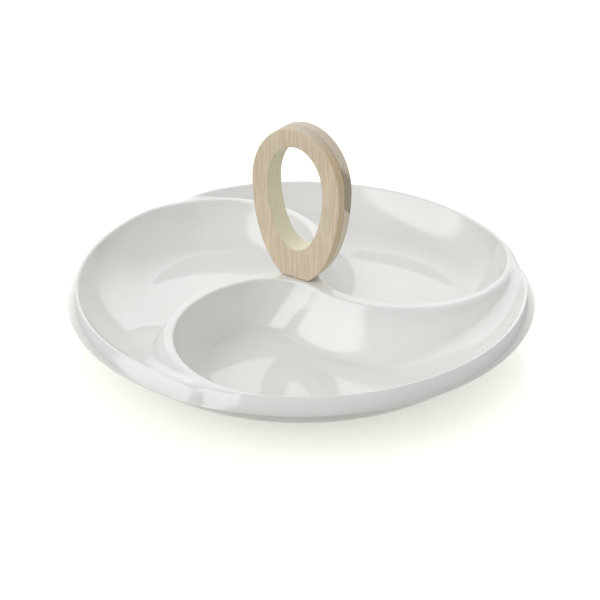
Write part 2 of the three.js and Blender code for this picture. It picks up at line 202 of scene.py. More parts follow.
# %% [markdown]
# ## The plan of a bowl
# Seen from above, one bowl is bounded by five arcs: its own round edge, the rim that it touches, the round
# tip of its tail, the outside of the next bowl, and a rounded corner beside the middle. In section the wall
# lies between a quarter of an ellipse and a straight slope. The same five arcs are drawn again for each
# angle of the wall, each time a little smaller and lower. A boolean cut would give the same form, but with
# a ragged mesh that shows in a gloss glaze.

# %% Plan of a bowl
ARC_STEPS = {"own": 110, "rim": 90, "tail": 16, "next": 60, "corner": 24}


def mix(low, high, share):
    return low + (high - low) * share


def ease(value, low, high):
    """0 up to low, 1 from high on, and a smooth climb between."""
    share = min(max((value - low) / (high - low), 0), 1)
    return share * share * (3 - 2 * share)


def polar(radius, angle):
    return Vector((radius * math.cos(angle), radius * math.sin(angle)))


def way(start, end):
    """The direction from one point to another, as an angle."""
    return math.atan2(end.y - start.y, end.x - start.x)


def crossing(centre_a, radius_a, centre_b, radius_b, side):
    """Where two circles cross: on the left (1) or the right (-1), seen from the first to the second."""
    span = (centre_b - centre_a).length
    along = (span**2 + radius_a**2 - radius_b**2) / (2 * span)
    aside = math.sqrt(radius_a**2 - along**2)
    forward = (centre_b - centre_a) / span
    left = Vector((-forward.y, forward.x))
    return centre_a + forward * along + left * side * aside


def wall_level(angle, offset=0):
    """The bowl's circles at one wall angle, from 0 at the rim to 90 degrees on the floor.

    With an offset they lie on the wall's outside, that far from its inside.
    """
    curved = 1 - math.cos(angle)
    inward = mix(curved, math.sin(angle), WALL_STRAIGHT)
    aside = offset * math.cos(angle)
    divider = DIVIDER_FOOT_SPREAD * mix(curved, math.sin(angle), DIVIDER_STRAIGHT)
    return {
        "inward": inward,
        "divider": divider,
        "centre": mix(BOWL_CENTRE_DISTANCE, FLOOR_CENTRE_DISTANCE, inward),
        "own": mix(BOWL_RADIUS, FLOOR_RADIUS, inward) + aside,
        "next": BOWL_RADIUS + DIVIDER_TOP_WIDTH + divider - aside,
        "z": DISH_HEIGHT - (BOWL_DEPTH + offset) * math.sin(angle),
    }


def arc(centre, radius, start, end, steps, side=1, first=0, last=0):
    """Points of an arc without its last one, each with the direction that leads out of the bowl there.

    The radius is larger by first where the arc starts and by last where it ends.
    """
    found = []
    for step in range(steps):
        share = step / steps
        out = polar(1, mix(start, end, share))
        reach = radius + first * (1 - share) ** 2 + last * share**2
        found.append((centre + out * reach, out * side))
    return found


@functools.cache
def bowl_outline(angle):
    """The five arcs of a bowl at one wall angle, counter-clockwise, in place on the dish."""
    level = wall_level(angle)
    rim = level["centre"] + level["own"]
    deep = math.sin(angle)
    shelf = TAIL_SHELF * deep
    trim = TAIL_TRIM * (1 - deep)
    tip_width = mix(TAIL_TIP_WIDTH, TAIL_FLOOR_WIDTH, deep**TAIL_RISE)
    tail = (tip_width - (LIP_INNER_RADIUS - rim + shelf) - (level["divider"] - trim)) / 2
    corner = mix(BOWL_CORNER_RADIUS, FLOOR_CORNER_RADIUS, level["inward"])
    middle = Vector((0, 0))
    own_centre = polar(level["centre"], FIRST_BOWL_AZIMUTH)
    next_centre = polar(BOWL_CENTRE_DISTANCE, FIRST_BOWL_AZIMUTH + BOWL_STEP)
    tail_centre = crossing(middle, rim - shelf - tail, next_centre, level["next"] - trim + tail, -1)
    corner_centre = crossing(own_centre, level["own"] - corner, next_centre, level["next"] + corner, 1)

    def onward(start, end):
        return start + (end - start) % TURN

    touch = FIRST_BOWL_AZIMUTH
    corner_way = way(own_centre, corner_centre)
    tail_way = way(middle, tail_centre)
    tail_end = way(tail_centre, next_centre)
    next_start = way(next_centre, tail_centre)
    next_end = next_start - (next_start - way(next_centre, corner_centre)) % TURN
    corner_start = way(corner_centre, next_centre)
    return [
        *arc(own_centre, level["own"], corner_way, onward(corner_way, touch), ARC_STEPS["own"]),
        *arc(middle, rim, touch, onward(touch, tail_way), ARC_STEPS["rim"], last=-shelf),
        *arc(tail_centre, tail, tail_way, onward(tail_way, tail_end), ARC_STEPS["tail"]),
        *arc(next_centre, level["next"], next_start, next_end, ARC_STEPS["next"], side=-1, first=-trim),
        *arc(corner_centre, corner, corner_start, onward(corner_start, corner_way), ARC_STEPS["corner"]),
    ]


print("a bowl's edge has", len(bowl_outline(0)), "points")

# %% [markdown]
# ## One bowl, copied twice
# The glaze rounds the top of each wall. On a bowl's own side the round is tight and catches the light as a
# bright line, beside the next bowl it is twice as wide, and where the rim nears the tail it is almost flat.
# The loops start beside the edge, go round it, and run down the wall. The floor is not quite flat but rises
# a little to its middle, as in any slip-cast dish, which rounds the reflections in it. Spin with its
# duplicate option sets the other bowls in place.

# %% Bowls
CREST_ROUND = 1.2 * MM
DIVIDER_ROUND = 2.4 * MM
DIVIDER_FALL = 1.2
SHELF_FALL = 0.35
DIVIDER_SOFT_PART = (0.55, 0.82)
CREST_HOLD = 0.1 * MM
CREST_STEPS = 8
WALL_STEPS = 40
WALL_END = math.radians(88)
FLOOR_RISE = 0.3 * MM
FLOOR_STEPS = 9


def crest_shapes():
    """How wide and deep the crest's round is at each point along a bowl's edge."""
    shapes = []
    for name, steps in ARC_STEPS.items():
        for step in range(steps):
            share = step / steps
            softness = {"tail": share, "next": 1 - ease(share, *DIVIDER_SOFT_PART)}.get(name, 0)
            thinness = {"rim": share**2, "tail": 1 - share}.get(name, 0)
            width = mix(CREST_ROUND, DIVIDER_ROUND, softness)
            fall = mix(1, DIVIDER_FALL, softness) * mix(1, SHELF_FALL, thinness)
            shapes.append((width, width * fall))
    return shapes


def wall_point(index, angle, aside=0):
    """One point of the wall, moved out of the bowl."""
    point, out = bowl_outline(angle)[index]
    return (point + out * aside).to_3d() + Vector((0, 0, wall_level(angle)["z"]))


def crest_point(index, width, drop, share):
    """One point of the crest's round: share 0 is its outer end and 1 is where the wall starts."""
    bend = share * math.pi / 2
    down = drop * (1 - math.cos(bend))
    return wall_point(index, math.asin(down / BOWL_DEPTH), width * (1 - math.sin(bend)))


def floor_loops(border):
    """Loops from the wall's end inwards, rising to the middle of the floor."""
    middle = sum(border, Vector()) / len(border)
    loops = []
    for step in range(1, FLOOR_STEPS):
        share = 1 - step / FLOOR_STEPS
        rise = Vector((0, 0, FLOOR_RISE * (1 - share**2)))
        loops.append([middle.lerp(point, share) + rise for point in border])
    return loops


def bowl_loops():
    """Loops from beside the edge, round the crest, down the wall and over the floor."""
    shapes = list(enumerate(crest_shapes()))
    loops = [[wall_point(i, 0, width + CREST_HOLD) for i, (width, _) in shapes]]
    for step in range(CREST_STEPS):
        loops.append([crest_point(i, *shape, step / CREST_STEPS) for i, shape in shapes])
    starts = [math.asin(drop / BOWL_DEPTH) for _, (_, drop) in shapes]
    for step in range(WALL_STEPS + 1):
        share = step / WALL_STEPS
        loops.append([wall_point(i, mix(start, WALL_END, share)) for i, start in enumerate(starts)])
    return loops + floor_loops(loops[-1])


def close_and_copy():
    """Closes the last loop of a piece, and sets copies of the piece round the dish."""
    bpy.ops.mesh.edge_face_add()
    bpy.ops.mesh.select_all(action="SELECT")
    bpy.ops.mesh.spin(
        steps=BOWL_COUNT - 1, dupli=True, angle=TURN - BOWL_STEP, center=(0, 0, 0), axis=(0, 0, 1)
    )
    leave_edit()


bowls = pull_through("dish_bowls", bowl_loops())
close_and_copy()
print("bowls", len(bowls.data.polygons), "faces")

# %% [markdown]
# ## The hollow under each divider
# A potter keeps porcelain at an even thickness, so each divider is hollow from below. The hollow is a
# crescent a wall's thickness away from the bowls on both of its sides, and it narrows upwards. Solidify
# would thicken the bowls as well, but it would fold over itself under the narrow crests, so the crescent is
# pulled up from the underside in loops of its own.

# %% Hollows
HOLLOW_START = math.radians(206)
HOLLOW_END = math.radians(240)
# The hollow ends at the height where walls that are quarter ellipses would leave this width.
HOLLOW_TOP_WIDTH = 4 * MM
HOLLOW_STEPS = 10
HOLLOW_ARC_STEPS = 28


def hollow_loop(angle):
    """The crescent's outline at one wall angle."""
    level = wall_level(angle, WALL)
    shift = BOWL_CENTRE_DISTANCE - level["centre"]
    outer, inner = [], []
    for step in range(HOLLOW_ARC_STEPS + 1):
        turn = mix(HOLLOW_START, HOLLOW_END, step / HOLLOW_ARC_STEPS)
        reach = -shift * math.cos(turn) + math.sqrt(level["own"] ** 2 - (shift * math.sin(turn)) ** 2)
        centre = polar(BOWL_CENTRE_DISTANCE, FIRST_BOWL_AZIMUTH)
        out = polar(1, turn + FIRST_BOWL_AZIMUTH)
        outer.append((centre + out * level["next"]).to_3d() + Vector((0, 0, level["z"])))
        inner.append((centre + out * reach).to_3d() + Vector((0, 0, level["z"])))
    return outer + inner[::-1]


divider_spread = DIVIDER_FOOT_SPREAD + BOWL_RADIUS - FLOOR_RADIUS
clear_span = DIVIDER_TOP_WIDTH + divider_spread - HOLLOW_TOP_WIDTH
narrowest = math.acos(clear_span / (divider_spread + 2 * WALL))
hollow_angles = [mix(math.pi / 2, narrowest, step / HOLLOW_STEPS) for step in range(HOLLOW_STEPS + 1)]
hollows = pull_through("dish_hollows", [hollow_loop(angle) for angle in hollow_angles])
close_and_copy()
print("hollows reach up to", round(max(v.co.z for v in hollows.data.vertices) / MM, 1), "mm")

# %% [markdown]
# ## The rim band, the underside and the foot ring
# Outside the lip, a band curves out and down to the dish's widest line and tucks under. Where one bowl
# slips behind the next, the band has a narrow dent, steeper on one side. Below it the outside follows the
# bowls' walls down to a foot ring. All of this is round, so it could be spun from a profile, but the dents
# break the symmetry: pulling rings lets each ring have its own dents, with its points crowded there.

# %% Rim band, underside and foot ring
RING_STEPS = 360
LIP_GAP = 0.1 * MM
LIP_OUTER_RADIUS = LIP_INNER_RADIUS + CREST_ROUND + CREST_HOLD + LIP_GAP
BAND_DROP = 8 * MM
BAND_TOP_TILT = math.radians(44)
BAND_LOW_TILT = math.radians(70)
BAND_STEPS = 14
TUCK_DROP = 2 * MM
TUCK_IN = 6.4 * MM
TUCK_STEPS = 14
UNDERSIDE_STEPS = 16
FOOT_RING_INSET = 1.5 * MM
FOOT_RING_OUTER_RADIUS = FLOOR_CENTRE_DISTANCE + FLOOR_RADIUS - FOOT_RING_INSET
FOOT_RING_WIDTH = 6 * MM
FOOT_RING_DRAFT = 1.2 * MM
FOOT_RING_ROUND = 0.7 * MM
FOOT_RING_ROUND_STEPS = 3
DENT_DEPTH = 2 * MM
DENT_BEFORE = math.radians(2.2)
DENT_AFTER = math.radians(3)
DENT_AZIMUTH = FIRST_BOWL_AZIMUTH - math.radians(15.8)
DENT_FULL_AT = 0.4
DENT_TUCK_FADE = 0.7
CROWDING = 0.75


def from_repeat(angle, first):
    """How far an angle is from the nearest of three that repeat round the dish."""
    off = angle - first
    return off - BOWL_STEP * round(off / BOWL_STEP)


def ring_angles():
    """Angles once round the dish, close together at the dents."""
    angles = []
    for step in range(RING_STEPS):
        even = TURN * step / RING_STEPS
        angles.append(even - CROWDING / BOWL_COUNT * math.sin(BOWL_COUNT * (even - DENT_AZIMUTH)))
    return angles


def ring_loop(radius, z):
    return [polar(radius, angle).to_3d() + Vector((0, 0, z)) for angle in ring_angles()]


def dent(angle, down):
    """How far the band is pressed in: not at the lip, most on its face, and little where it tucks in."""
    off = from_repeat(angle, DENT_AZIMUTH)
    width = DENT_BEFORE if off < 0 else DENT_AFTER
    tuck = max(down - 1, 0) * BAND_DROP / TUCK_DROP
    growth = math.sin(math.pi / 2 * min(down / DENT_FULL_AT, 1))
    depth = DENT_DEPTH * growth * (1 - DENT_TUCK_FADE * tuck)
    return depth / (1 + (off / width) ** 2)


def band_loop(radius, z):
    """One ring of the band, with the dents pressed in."""
    down = (DISH_HEIGHT - z) / BAND_DROP
    height = Vector((0, 0, z))
    return [polar(radius - dent(angle, down), angle).to_3d() + height for angle in ring_angles()]


def band_loops():
    """Rings from the lip over the band's face and round its lower edge."""
    loops = [ring_loop(LIP_OUTER_RADIUS, DISH_HEIGHT)]
    tuck_round = TUCK_DROP / (1 + math.cos(BAND_LOW_TILT))
    start = LIP_OUTER_RADIUS + CREST_HOLD
    end = DISH_RADIUS - tuck_round * (1 - math.sin(BAND_LOW_TILT))
    top_sin, low_sin = math.sin(BAND_TOP_TILT), math.sin(BAND_LOW_TILT)
    top_cos, low_cos = math.cos(BAND_TOP_TILT), math.cos(BAND_LOW_TILT)
    for step in range(BAND_STEPS + 1):
        bend = mix(BAND_TOP_TILT, BAND_LOW_TILT, step / BAND_STEPS)
        out = (math.sin(bend) - top_sin) / (low_sin - top_sin)
        down = (top_cos - math.cos(bend)) / (top_cos - low_cos)
        loops.append(band_loop(mix(start, end, out), DISH_HEIGHT - BAND_DROP * down))
    for step in range(1, TUCK_STEPS + 1):
        bend = mix(BAND_LOW_TILT, math.pi, step / TUCK_STEPS)
        reach = tuck_round if bend < math.pi / 2 else TUCK_IN
        z = DISH_HEIGHT - BAND_DROP - tuck_round * (low_cos - math.cos(bend))
        loops.append(band_loop(DISH_RADIUS - reach * (1 - math.sin(bend)), z))
    return loops


def underside_loops():
    """Rings from under the band down the bowls' outside, and round the foot ring."""
    loops = []
    tuck_z = DISH_HEIGHT - BAND_DROP - TUCK_DROP
    start = math.asin((DISH_HEIGHT - tuck_z) / (BOWL_DEPTH + WALL))
    for step in range(1, UNDERSIDE_STEPS + 1):
        level = wall_level(mix(start, math.pi / 2, step / UNDERSIDE_STEPS), WALL)
        loops.append(ring_loop(level["centre"] + level["own"], level["z"]))
    inner = FOOT_RING_OUTER_RADIUS - FOOT_RING_WIDTH
    for radius, z in (
        (FOOT_RING_OUTER_RADIUS, UNDERSIDE_Z),
        (FOOT_RING_OUTER_RADIUS - FOOT_RING_DRAFT, 0),
        (inner, 0),
        (inner - FOOT_RING_DRAFT, UNDERSIDE_Z),
    ):
        loops.append(ring_loop(radius, z))
    return loops


shell = pull_through("dish_shell", [*band_loops(), *underside_loops()])
bpy.ops.mesh.select_all(action="DESELECT")
shell_mesh = bmesh.from_edit_mesh(shell.data)
for edge in shell_mesh.edges:
    start, end = (vertex.co for vertex in edge.verts)
    low = max(start.z, end.z) < TOUCH
    edge.select_set(low and abs(start.xy.length - end.xy.length) < TOUCH)
bpy.ops.mesh.bevel(offset=FOOT_RING_ROUND, segments=FOOT_RING_ROUND_STEPS, affect="EDGES")
leave_edit()
print("rim band and underside", len(shell.data.polygons), "faces")

# %% [markdown]
# ## The hub
# Under the middle, a cone gives room for the screw and its washers, with a flat seat at the top and a bore
# through to the handle. It could be cut out with a cone and a cylinder, but four circles pulled one after
# the other give the same skin with clean edges.

# %% Hub
HUB_WEB = 12 * MM
HUB_RECESS_RADIUS = 14 * MM
HUB_BORE_RADIUS = 5 * MM
HUB_SEAT_RADIUS = 7.3 * MM
HUB_STEPS = 72
SEAT_Z = DISH_HEIGHT - HUB_WEB
hub_profile = (
    (HUB_BORE_RADIUS, DISH_HEIGHT),
    (HUB_BORE_RADIUS, SEAT_Z),
    (HUB_SEAT_RADIUS, SEAT_Z),
    (HUB_RECESS_RADIUS, UNDERSIDE_Z),
)
hub = pull_through("dish_hub", [circle_points(radius, z, HUB_STEPS) for radius, z in hub_profile])
leave_edit()
print("hub seat at", round(SEAT_Z / MM, 1), "mm")

# %% [markdown]
# ## One closed dish
# The parts are joined, and Fill closes the two flat areas between their open edges: the land on top, which
# runs along the dividers and the lip, and the underside inside the foot ring. Outside each bowl's own edge,
# where the last bowl's tail runs out, the lip sinks into a saddle, and Smooth Vertices melts the edges
# there into each other, so that one rim flows into the next. The result is one closed skin, as the fired
# and glazed dish is one piece.

# %% Join the dish
SMOOTH_ANGLE = math.radians(35)
SADDLE_DROP = 1.4 * MM
SADDLE_AZIMUTH = FIRST_BOWL_AZIMUTH - math.radians(17)
SADDLE_HALF_ANGLE = math.radians(6)
SADDLE_WIDTH = 7 * MM
SADDLE_FADE = (20 * MM, 30 * MM)
MELT_REACH = math.radians(9)
MELT_INNER = 12 * MM
MELT_DEPTH = 9 * MM
MELT_FACTOR = 0.5
MELT_PASSES = 30


def saddle(point):
    """How far a point of the rim sinks: most outside a bowl's own edge, just before it reaches the lip."""
    angle = math.atan2(point.y, point.x)
    around = from_repeat(angle, FIRST_BOWL_AZIMUTH)
    off = from_repeat(angle, SADDLE_AZIMUTH) / SADDLE_HALF_ANGLE
    aside = BOWL_CENTRE_DISTANCE * math.sin(around)
    own_edge = BOWL_CENTRE_DISTANCE * math.cos(around) + math.sqrt(max(BOWL_RADIUS**2 - aside**2, 0))
    beyond = point.xy.length - own_edge - CREST_ROUND
    return SADDLE_DROP * math.exp(-(off**2)) * ease(beyond, 0, SADDLE_WIDTH) * ease(point.z, *SADDLE_FADE)


def melts(point):
    """Whether a point lies at the tip of a tail, where the edges run into each other."""
    off = from_repeat(math.atan2(point.y, point.x), SADDLE_AZIMUTH)
    outer = point.xy.length > LIP_INNER_RADIUS - MELT_INNER
    high = point.z > DISH_HEIGHT - MELT_DEPTH
    return outer and high and abs(off) < MELT_REACH


bpy.ops.object.select_all(action="DESELECT")
for part in (bowls, hollows, shell, hub):
    part.select_set(True)
bpy.context.view_layer.objects.active = bowls
bpy.ops.object.join()
dish = bpy.context.object
dish.name = dish.data.name = "dish_body"
bpy.ops.object.mode_set(mode="EDIT")
for height in (DISH_HEIGHT, UNDERSIDE_Z):
    select_open_edges(dish, height)
    bpy.ops.mesh.fill()
bpy.ops.mesh.select_all(action="SELECT")
bpy.ops.mesh.normals_make_consistent(inside=False)
bpy.ops.mesh.select_mode(type="VERT")
bpy.ops.mesh.select_all(action="DESELECT")
leave_edit()
for vertex in dish.data.vertices:
    vertex.co.z -= saddle(vertex.co)
    vertex.select = melts(vertex.co)
bpy.ops.object.mode_set(mode="EDIT")
bpy.ops.mesh.vertices_smooth(factor=MELT_FACTOR, repeat=MELT_PASSES)
leave_edit()
bpy.ops.object.shade_smooth_by_angle(angle=SMOOTH_ANGLE)
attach(dish, "dish")
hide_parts("dish")
check = bmesh.new()
check.from_mesh(dish.data)
print("dish", len(check.faces), "faces,", sum(edge.is_boundary for edge in check.edges), "open edges")
check.free()

# %% [markdown]
# ## The ring handle
# The ring is sawn from a laminated bamboo board: an egg on a small flat foot, with an oval grip hole. A
# closed loop is pulled round the section of the ring: across the front face to the hole, back through the
# hole, out over the back face, and home along the outer edge. Then the edges are softened as with
# sandpaper, and a Boolean modifier drills the foot for the threaded insert.

# %% Ring handle
HANDLE_FOOT_Z = ring_low.z
HANDLE_HALF_WIDTH = ring_high.x
HANDLE_HALF_THICKNESS = ring_high.y
HANDLE_HEIGHT = ring_high.z - ring_low.z
HANDLE_WIDEST_HEIGHT = 58 * MM
HANDLE_FOOT_HALF_WIDTH = 9 * MM
HANDLE_EDGE_ROUND = 0.9 * MM
HANDLE_EDGE_STEPS = 4
HANDLE_SHARP_ANGLE = math.radians(40)
GRIP_HALF_WIDTH = 18.5 * MM
GRIP_WOOD_ABOVE = 11 * MM
GRIP_WOOD_BELOW = 18.5 * MM
HANDLE_STEPS = {"foot": 10, "side": 44, "top": 90}
INSERT_BORE_RADIUS = 4.15 * MM
INSERT_BORE_DEPTH = 13 * MM
DRILL_STEPS = 48


def handle_outline():
    """The egg's outline from the left end of the foot, counter-clockwise, as (width, height) points."""
    half, foot, widest = HANDLE_HALF_WIDTH, HANDLE_FOOT_HALF_WIDTH, HANDLE_WIDEST_HEIGHT
    sweep = math.acos(foot / half)
    lower = widest / math.sin(sweep)
    points = [(mix(-foot, foot, i / HANDLE_STEPS["foot"]), 0) for i in range(HANDLE_STEPS["foot"])]
    side = []
    for i in range(HANDLE_STEPS["side"]):
        turn = mix(-sweep, 0, i / HANDLE_STEPS["side"])
        side.append((half * math.cos(turn), widest + lower * math.sin(turn)))
    points += side
    for i in range(HANDLE_STEPS["top"] + 1):
        turn = math.pi * i / HANDLE_STEPS["top"]
        points.append((half * math.cos(turn), widest + (HANDLE_HEIGHT - widest) * math.sin(turn)))
    return points + [(-width, height) for width, height in side[:0:-1]]


def grip_outline(outer):
    """The grip hole's outline, with one point towards each point of the outer outline."""
    points = []
    for width, height in outer:
        rise = height - HANDLE_WIDEST_HEIGHT
        above = HANDLE_HEIGHT - GRIP_WOOD_ABOVE - HANDLE_WIDEST_HEIGHT
        below = HANDLE_WIDEST_HEIGHT - GRIP_WOOD_BELOW
        reach = above if rise > 0 else below
        turn = math.atan2(rise / reach, width / GRIP_HALF_WIDTH)
        points.append((GRIP_HALF_WIDTH * math.cos(turn), HANDLE_WIDEST_HEIGHT + reach * math.sin(turn)))
    return points


def handle_loops():
    """The loops round the ring's section. The last one lies on the first."""
    outer = handle_outline()
    hole = grip_outline(outer)

    def at(points, y):
        return [Vector((width, y, HANDLE_FOOT_Z + height)) for width, height in points]

    front, back = -HANDLE_HALF_THICKNESS, HANDLE_HALF_THICKNESS
    return [at(outer, front), at(hole, front), at(hole, back), at(outer, back), at(outer, front)]


ring = pull_through("ring_board", handle_loops())
bpy.ops.mesh.select_all(action="SELECT")
bpy.ops.mesh.remove_doubles(threshold=TOUCH)
bpy.ops.mesh.normals_make_consistent(inside=False)
bpy.ops.mesh.select_all(action="DESELECT")
bpy.ops.mesh.edges_select_sharp(sharpness=HANDLE_SHARP_ANGLE)
bpy.ops.mesh.bevel(offset=HANDLE_EDGE_ROUND, segments=HANDLE_EDGE_STEPS, affect="EDGES")
leave_edit()

bpy.ops.object.select_all(action="DESELECT")
bpy.ops.mesh.primitive_cylinder_add(
    vertices=DRILL_STEPS,
    radius=INSERT_BORE_RADIUS,
    depth=2 * INSERT_BORE_DEPTH,
    location=(0, 0, HANDLE_FOOT_Z),
)
drill = bpy.context.object
cut = ring.modifiers.new("insert_bore", "BOOLEAN")
cut.operation = "DIFFERENCE"
cut.object = drill
bpy.context.view_layer.objects.active = ring
bpy.ops.object.modifier_apply(modifier=cut.name)
bpy.data.objects.remove(drill)
bpy.ops.object.select_all(action="DESELECT")
ring.select_set(True)
bpy.ops.object.shade_smooth_by_angle(angle=SMOOTH_ANGLE)
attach(ring, "handle")
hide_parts("ring_handle")
print("ring handle", len(ring.data.polygons), "faces")

# %% [markdown]
# ## Node trees in few words
# Each finish is a small tree of nodes. The first helper adds one node, sets its plain values and links its
# inputs, so that a tree reads as a list of steps. The others add the few groups of nodes that most of the
# finishes share, such as a cloudy pattern or a bump.

# %% Helpers for node trees
NOISE_SPAN = (0.3, 0.7)


def add(finish, kind, inputs=(), **settings):
    """Adds a node. Each input is (socket, value): a number, a colour or another node's output."""
    node = finish.node_tree.nodes.new("ShaderNode" + kind)
    for key, value in settings.items():
        setattr(node, key, value)
    for socket, value in inputs:
        if isinstance(value, bpy.types.NodeSocket):
            finish.node_tree.links.new(value, node.inputs[socket])
        else:
            node.inputs[socket].default_value = value
    return node


def link(finish, output, node, socket):
    finish.node_tree.links.new(output, node.inputs[socket])


def new_finish(name):
    """A material with a Principled shader on its output and nothing else."""
    finish = bpy.data.materials.new(name)
    finish.use_nodes = True
    finish.node_tree.nodes.clear()
    shader = add(finish, "BsdfPrincipled")
    add(finish, "OutputMaterial", [("Surface", shader.outputs["BSDF"])])
    return finish, shader


def noise(finish, place, scale, detail):
    """A cloudy pattern round 0.5."""
    inputs = [("Vector", place), ("Scale", scale), ("Detail", detail)]
    return add(finish, "TexNoise", inputs).outputs["Fac"]


def mottle(finish, pattern, low, high, places=NOISE_SPAN):
    """A colour that follows a pattern from the low colour to the high one."""
    node = add(finish, "ValToRGB", [("Fac", pattern)])
    for element, place, colour in zip(node.color_ramp.elements, places, (low, high)):
        element.position = place
        element.color = (*colour, 1)
    return node.outputs["Color"]


def span(finish, value, low, high, start=0, end=1):
    """Maps a value from low..high to start..end, and no further."""
    inputs = [("Value", value), ("From Min", low), ("From Max", high), ("To Min", start), ("To Max", end)]
    return add(finish, "MapRange", inputs, interpolation_type="SMOOTHSTEP").outputs["Result"]


def blend(finish, factor, first, second):
    """Mixes two colours."""
    kinds = {"Factor": "VALUE", "A": "RGBA", "B": "RGBA"}
    node = add(finish, "Mix", data_type="RGBA")
    for socket, value in (("Factor", factor), ("A", first), ("B", second)):
        target = next(i for i in node.inputs if i.name == socket and i.type == kinds[socket])
        if isinstance(value, bpy.types.NodeSocket):
            finish.node_tree.links.new(value, target)
        else:
            target.default_value = (*value, 1)
    return next(o for o in node.outputs if o.type == "RGBA")


def bump(finish, shader, pattern, strength, depth):
    """Presses a pattern into the surface."""
    inputs = [("Height", pattern), ("Strength", strength), ("Distance", depth)]
    link(finish, add(finish, "Bump", inputs).outputs["Normal"], shader, "Normal")


def darker(colour, share):
    return [channel * share for channel in colour]


def wear(piece, finish):
    """Gives a piece one finish all over."""
    piece.data.materials.clear()
    piece.data.materials.append(finish)


print("node helpers ready")

# %% [markdown]
# ## Porcelain
# The glaze is a clear, even gloss over a white body. It is never quite flat: it pools and ripples over tens
# of millimetres, which is what bends the reflections. The foot ring's resting face has no glaze, because
# the dish would stick to the kiln shelf, so the bare biscuit there is matt and a little warmer.

# %% Porcelain
GLAZE_WHITE = (0.80, 0.80, 0.78)
GLAZE_THICK = (0.76, 0.765, 0.745)
GLAZE_IOR = 1.65
GLAZE_ROUGHNESS = (0.06, 0.09)
GLAZE_CLOUDS = {"scale": 18, "detail": 2}
CLOUD_SPAN = (0.35, 0.65)
RIPPLES = {"scale": 40, "detail": 1.5}
RIPPLE_STRENGTH = 0.12
RIPPLE_DEPTH = 0.6 * MM
BISCUIT = (0.70, 0.67, 0.61)
BISCUIT_ROUGHNESS = 0.75
BISCUIT_TOP = (0.3 * MM, 0.6 * MM)
GRIT = {"scale": 1800, "detail": 3}
GRIT_SHADE = 0.88


def porcelain_finish():
    finish, shader = new_finish("porcelain_glaze")
    shader.inputs["IOR"].default_value = GLAZE_IOR
    place = add(finish, "TexCoord").outputs["Object"]
    clouds = noise(finish, place, **GLAZE_CLOUDS)
    grit = noise(finish, place, **GRIT)
    height = add(finish, "SeparateXYZ", [("Vector", place)]).outputs["Z"]
    bare = span(finish, height, *BISCUIT_TOP, 1, 0)
    glaze = mottle(finish, clouds, GLAZE_THICK, GLAZE_WHITE, CLOUD_SPAN)
    sand = mottle(finish, grit, darker(BISCUIT, GRIT_SHADE), BISCUIT)
    link(finish, blend(finish, bare, glaze, sand), shader, "Base Color")
    smooth = span(finish, clouds, *NOISE_SPAN, *GLAZE_ROUGHNESS)
    rough = add(finish, "Mix", [("Factor", bare), ("A", smooth), ("B", BISCUIT_ROUGHNESS)])
    link(finish, rough.outputs["Result"], shader, "Roughness")
    bump(finish, shader, noise(finish, place, **RIPPLES), RIPPLE_STRENGTH, RIPPLE_DEPTH)
    return finish


porcelain = porcelain_finish()
wear(dish, porcelain)
print("porcelain nodes", len(porcelain.node_tree.nodes))

# %% [markdown]
# ## Bamboo
# The board is two layers of bamboo strips, glued face to face, with the fibres upright. On the faces the
# fibre bundles show as fine streaks, warm ones beside greenish ones, with darker pores. Round the outside
# the cut goes across the layers: the front layer is browner, the back one greyer, with a thin glue line
# between them, and one strip of the back layer is darker and ends in a slanting joint. Where the outside
# faces up, a painted sheen makes it greyer. The wall of the grip hole is the fresh, pale green-yellow of
# cut bamboo. A wood texture of rings would be wrong, since bamboo has none.

# %% Bamboo
FIBRE_WARM = (0.82, 0.655, 0.495)
FIBRE_COOL = (0.735, 0.655, 0.495)
FIBRE_PORE = (0.46, 0.35, 0.23)
EDGE_FRONT = (0.72, 0.57, 0.37)
EDGE_BACK = (0.80, 0.71, 0.57)
# Painted sheen: the part of the outer edge that faces up is painted this greyer tone.
EDGE_TOP_SHEEN = (0.62, 0.57, 0.48)
DARK_STRIP = (0.40, 0.35, 0.26)
GRIP_WALL = (0.80, 0.77, 0.58)
GLUE_LINE = (0.30, 0.24, 0.14)
GLUE_PLACE = -0.8 * MM
GLUE_WIDTH = 0.4 * MM
GLUE_SHARE = 0.6
STRIP_LOW = 87 * MM
STRIP_HIGH = 108 * MM
STRIP_SLANT = 0.9
# An oval inside the wood tells the wall of the grip hole from the outer edge.
GRIP_MIDDLE = HANDLE_FOOT_Z + 53 * MM
GRIP_REACH = Vector((24, 0, 39)) * MM
GRIP_BORDER = (0.95, 1.05)
FIBRES = {"across": 1300, "along": 50, "detail": 3}
BUNDLES = {"across": 1500, "along": 30, "detail": 3}
PORES = {"across": 1500, "along": 120, "detail": 1}
FIBRE_SPAN = (0.35, 0.65)
BUNDLE_SPAN = (0.38, 0.60)
PORE_SPAN = (0.6, 0.72)
FACE_FIBRE_SHARE = 0.34
EDGE_FIBRE_SHARE = 0.35
GRIP_FIBRE_SHARE = 0.2
PORE_SHARE = 0.35
# How far the normal must face up for the painted sheen to start and be full, and how much of it.
TOP_SHEEN_SPAN = (0.5, 0.95)
TOP_SHEEN_SHARE = 0.8
BAMBOO_ROUGHNESS = (0.68, 0.55)
GRAIN_STRENGTH = 0.4
GRAIN_DEPTH = 0.2 * MM


